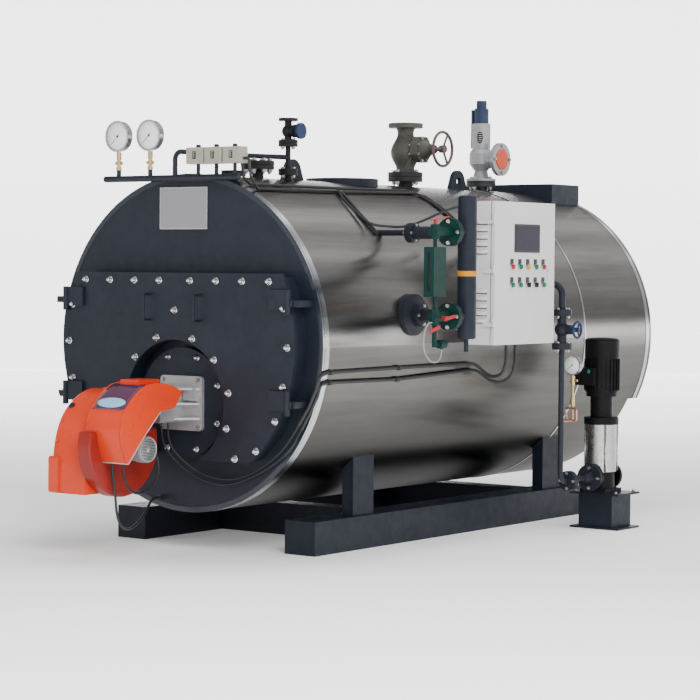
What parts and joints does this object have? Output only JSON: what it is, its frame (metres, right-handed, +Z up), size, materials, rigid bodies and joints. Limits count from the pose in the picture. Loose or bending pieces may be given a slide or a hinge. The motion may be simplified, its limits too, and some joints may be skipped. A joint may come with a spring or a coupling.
{
  "type": "packaged steam boiler",
  "caption": "Horizontal fire-tube steam boiler on a steel skid, with gas burner, steam fittings, water level column, control cabinet and feed pump.",
  "frame": {"origin": "on the floor, under the middle of the skid's front cross member", "axes": "+Z up, +Y along the drum from the burner end to the rear, +X to the side with the control cabinet and feed pump"},
  "size_m": [1.985, 3.723, 2.29],
  "materials": {
    "blue_wheel": "gloss",
    "brass": "satin",
    "cable_black": "matt",
    "casting": "rough cast",
    "clad": "streaky bands",
    "clad_trim": "satin",
    "dark_iron": "matt",
    "dial": "polished",
    "gauge_green": "satin",
    "motor_grey": "satin",
    "navy": "satin",
    "olive_iron": "matt",
    "orange": "gloss",
    "orange_cap": "matt",
    "pale_shell": "satin",
    "plastic_grey": "matt",
    "pump_black": "satin",
    "red_wheel": "gloss",
    "silver": "satin",
    "skid_blue": "satin",
    "stainless": "satin",
    "zinc": "satin"
  },
  "bodies": {
    "boiler": {"blank_nozzles": "dark_iron", "burner_cable": "cable_black", "burner_fan": "casting", "burner_hood": "orange", "burner_loop": "cable_black", "burner_motor": "motor_grey", "burner_mount": "casting", "burner_plate": "casting", "burner_scroll": "orange", "cabinet_box": "pale_shell", "cabinet_loop_lower": "cable_black", "cabinet_loop_upper": "cable_black", "cladding_trim": "clad_trim", "column_pipes": "zinc", "door_handles": "stainless", "door_hinges": "navy", "drain_hose": "cable_black", "drooping_cable": "cable_black", "feed_gauge": "brass", "feed_line": "stainless", "feed_valve": "zinc", "fixed_cables": "cable_black", "flue_outlet": "navy", "front_cable_lower": "cable_black", "front_cable_upper": "cable_black", "front_plate": "navy", "gauge_cocks": "brass", "gauge_manifold": "stainless", "level_cock_levers": "red_wheel", "level_gauge": "gauge_green", "lifting_lugs": "navy", "main_steam_valve": "olive_iron", "manhole": "navy", "pressure_controllers": "plastic_grey", "pressure_gauges": "dial", "pump_base": "pump_black", "pump_head": "pump_black", "pump_motor": "pump_black", "pump_sleeve": "stainless", "pump_stand": "skid_blue", "rear_end": "navy", "saddle_legs": "skid_blue", "safety_outlet_cover": "orange_cap", "safety_valve": "silver", "shell_front": "clad", "shell_rear": "clad", "skid_beams": "skid_blue", "skid_cross_members": "skid_blue", "smoke_box_door": "navy", "smoke_box_frame": "navy", "smoke_box_shell": "clad", "vent_valve": "olive_iron", "water_column": "navy"},
    "control_cabinet_door": {"cabinet_door": "pale_shell"},
    "main_wheel": {"main_handwheel": "red_wheel"},
    "vent_wheel": {"vent_handwheel": "blue_wheel"},
    "feed_wheel": {"feed_handwheel": "blue_wheel"}
  },
  "joints": [
    {"name": "cabinet_door_hinge", "type": "hinge", "parent": "boiler", "child": "control_cabinet_door", "pos_m": [1.05, 0.179, 1.329], "axis": [0, 0, -1], "range_deg": [0, 110]},
    {"name": "main_valve_spindle", "type": "hinge", "parent": "boiler", "child": "main_wheel", "pos_m": [0.24, 0.933, 1.981], "axis": [1, 0, 0], "continuous": true},
    {"name": "vent_valve_spindle", "type": "hinge", "parent": "boiler", "child": "vent_wheel", "pos_m": [0.148, -0.183, 2.021], "axis": [1, 0, 0], "continuous": true},
    {"name": "feed_valve_spindle", "type": "hinge", "parent": "boiler", "child": "feed_wheel", "pos_m": [1.125, 0.85, 1.045], "axis": [1, 0, 0], "continuous": true}
  ]
}
